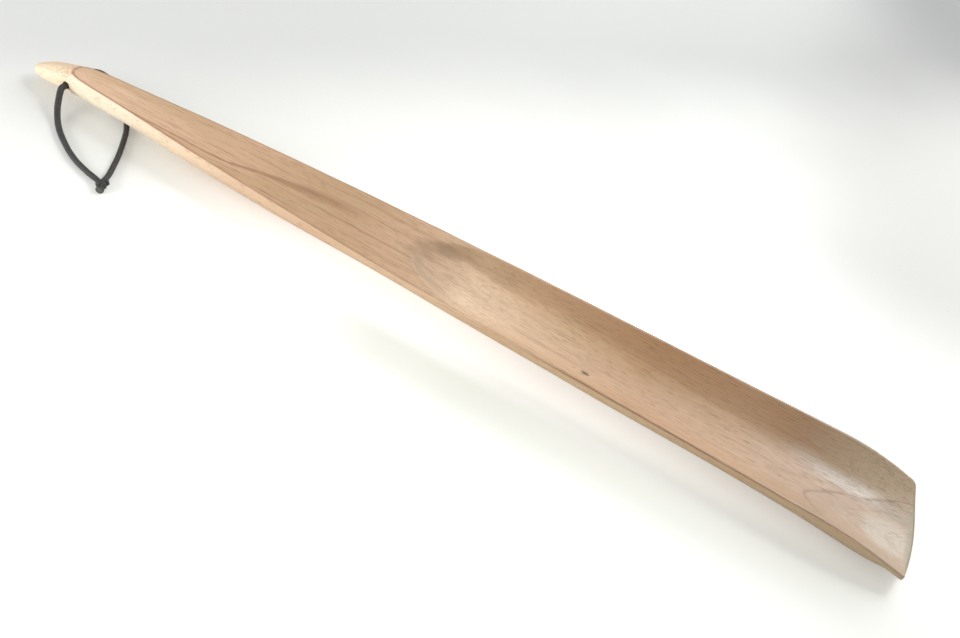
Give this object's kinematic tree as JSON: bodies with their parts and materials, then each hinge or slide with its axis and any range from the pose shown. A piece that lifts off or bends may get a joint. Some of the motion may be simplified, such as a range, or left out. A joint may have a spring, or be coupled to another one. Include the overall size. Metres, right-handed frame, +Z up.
{
  "type": "shoehorn",
  "caption": "Long wooden shoehorn: a flat-faced tapering handle with a rounded nose widens into a hollowed, round-backed blade; a leather cord through a cross bore hangs it up.",
  "frame": {"origin": "centre of the horn's bounding box, without its cord, on the surface that its rounded back rests on", "axes": "+X along the horn from the handle's nose to the blade's edge, +Y across it, +Z up out of the hollow side"},
  "size_m": [0.343, 0.0602, 0.012],
  "materials": {
    "wood": "sanded smooth and oiled, satin",
    "cord_leather": "matt round lace"
  },
  "bodies": {
    "horn": {"horn_body": "wood"},
    "hang_loop": {"cord_near_strand": "cord_leather", "cord_far_strand": "cord_leather", "cord_bore_stretch": "cord_leather", "cord_knot": "cord_leather", "cord_tail_near": "cord_leather", "cord_tail_far": "cord_leather"}
  },
  "joints": [
    {"name": "hang_loop_swing", "type": "hinge", "parent": "horn", "child": "hang_loop", "pos_m": [-0.1554, 0, 0.0067], "axis": [0, 1, 0], "range_deg": [0, 300]}
  ]
}
